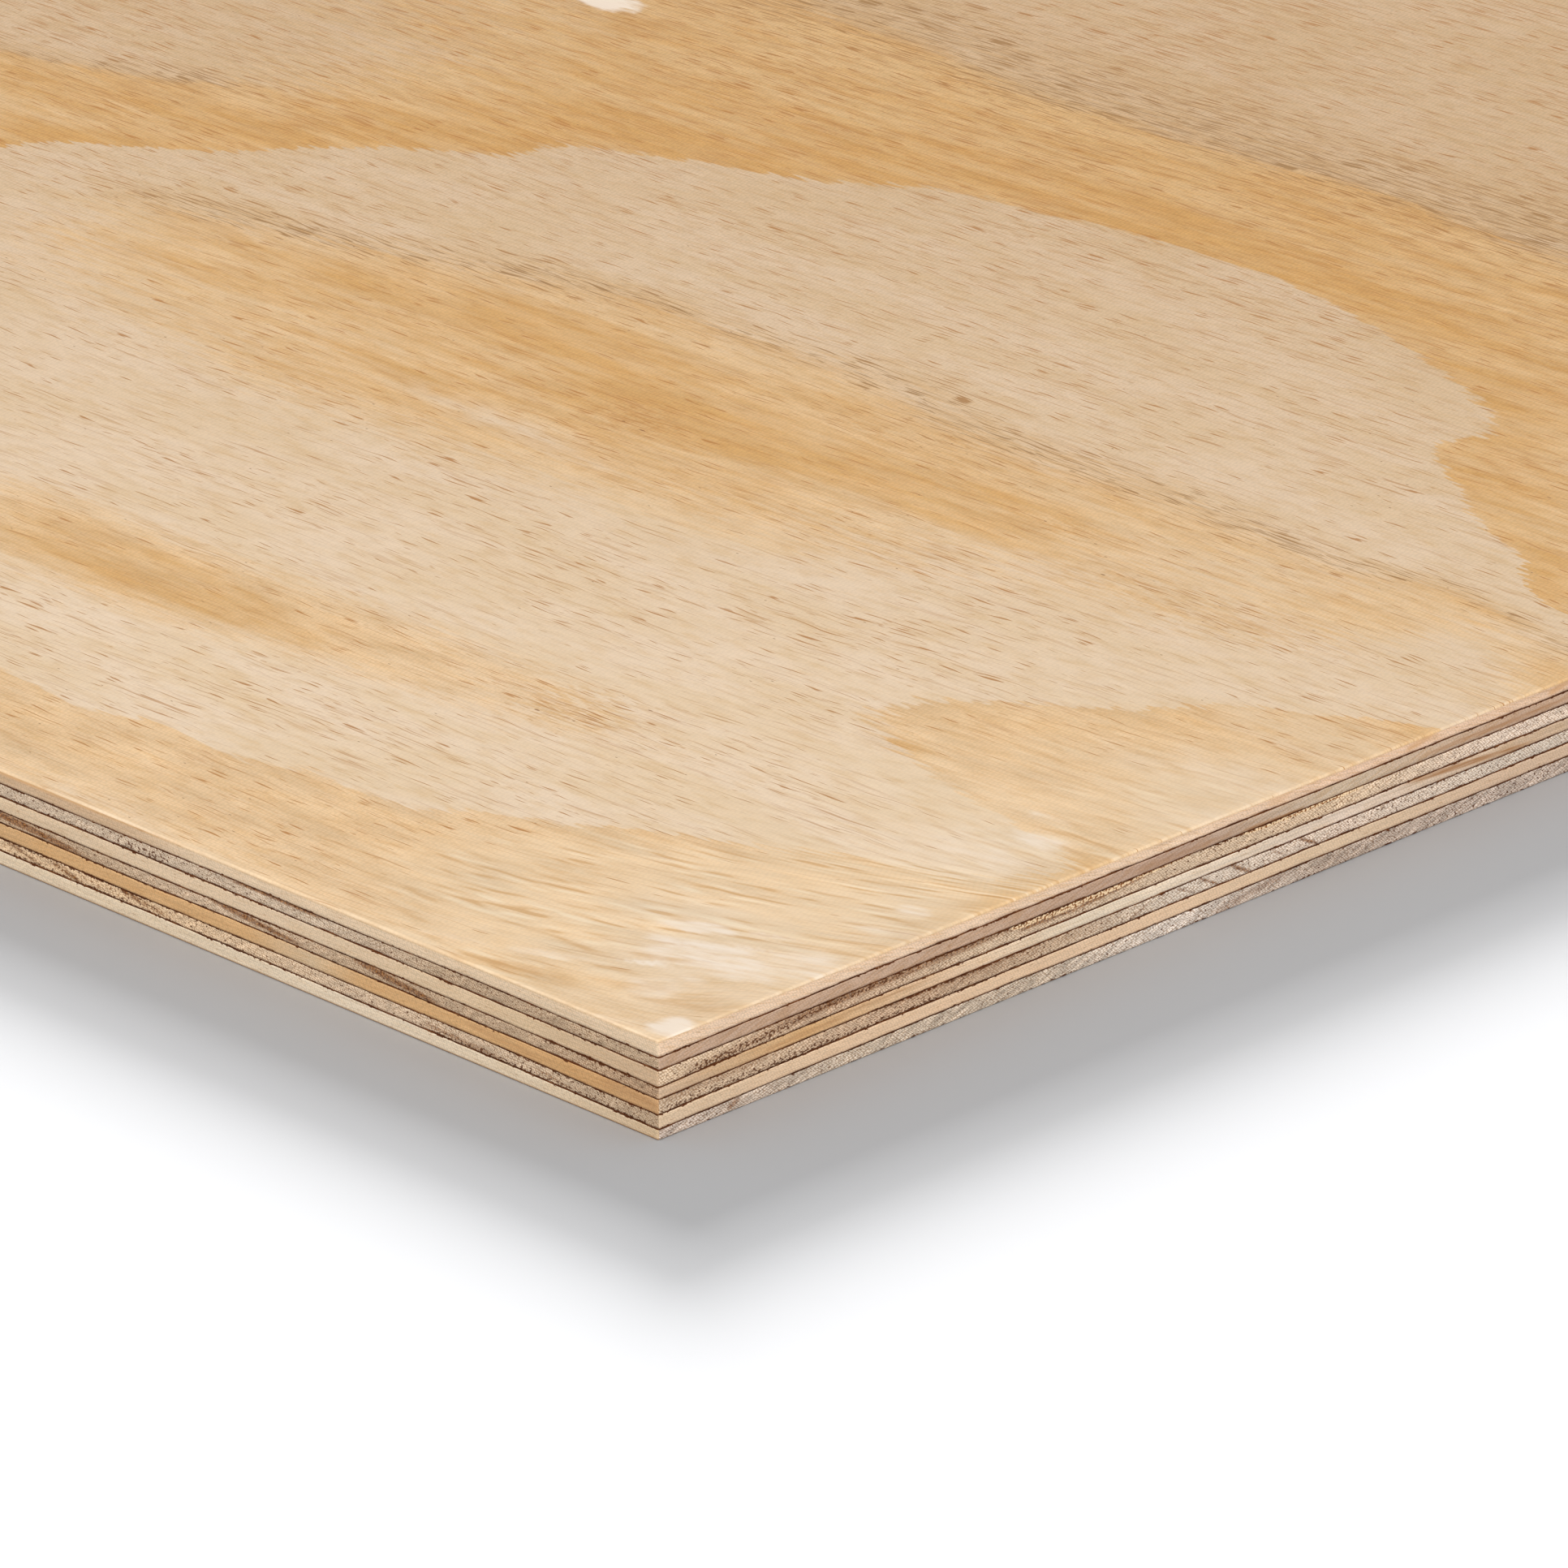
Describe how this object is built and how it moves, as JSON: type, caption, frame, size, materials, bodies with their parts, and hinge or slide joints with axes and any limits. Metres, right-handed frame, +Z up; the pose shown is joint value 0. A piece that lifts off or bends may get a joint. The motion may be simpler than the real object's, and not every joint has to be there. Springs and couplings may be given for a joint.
{
  "type": "plywood sheet",
  "caption": "Full sheet of sanded pine plywood, cross-laminated from rotary-cut veneers, with sawn edges that show side grain, end grain and dark glue lines.",
  "frame": {"origin": "middle of the underside, at the centre of the sheet's length and width", "axes": "+X along the sheet's length and the face grain, +Y across its width, +Z up through its thickness to the face"},
  "size_m": [2.44, 1.22, 0.018],
  "materials": {
    "sanded_pine": "sanded, bare, matt with a faint sheen",
    "long_grain_pine": "sawn side grain, bare and matt",
    "crossband_pine": "sawn end grain, bare and matt",
    "cured_glue": "cured phenolic resin, dark brown, sawn"
  },
  "bodies": {
    "root": {"face_veneer": "sanded_pine", "glue_line_6": "cured_glue", "upper_crossband": "crossband_pine", "glue_line_5": "cured_glue", "upper_long_veneer": "long_grain_pine", "glue_line_4": "cured_glue", "centre_crossband": "crossband_pine", "glue_line_3": "cured_glue", "lower_long_veneer": "long_grain_pine", "glue_line_2": "cured_glue", "lower_crossband": "crossband_pine", "glue_line_1": "cured_glue", "back_veneer": "sanded_pine"}
  },
  "joints": []
}
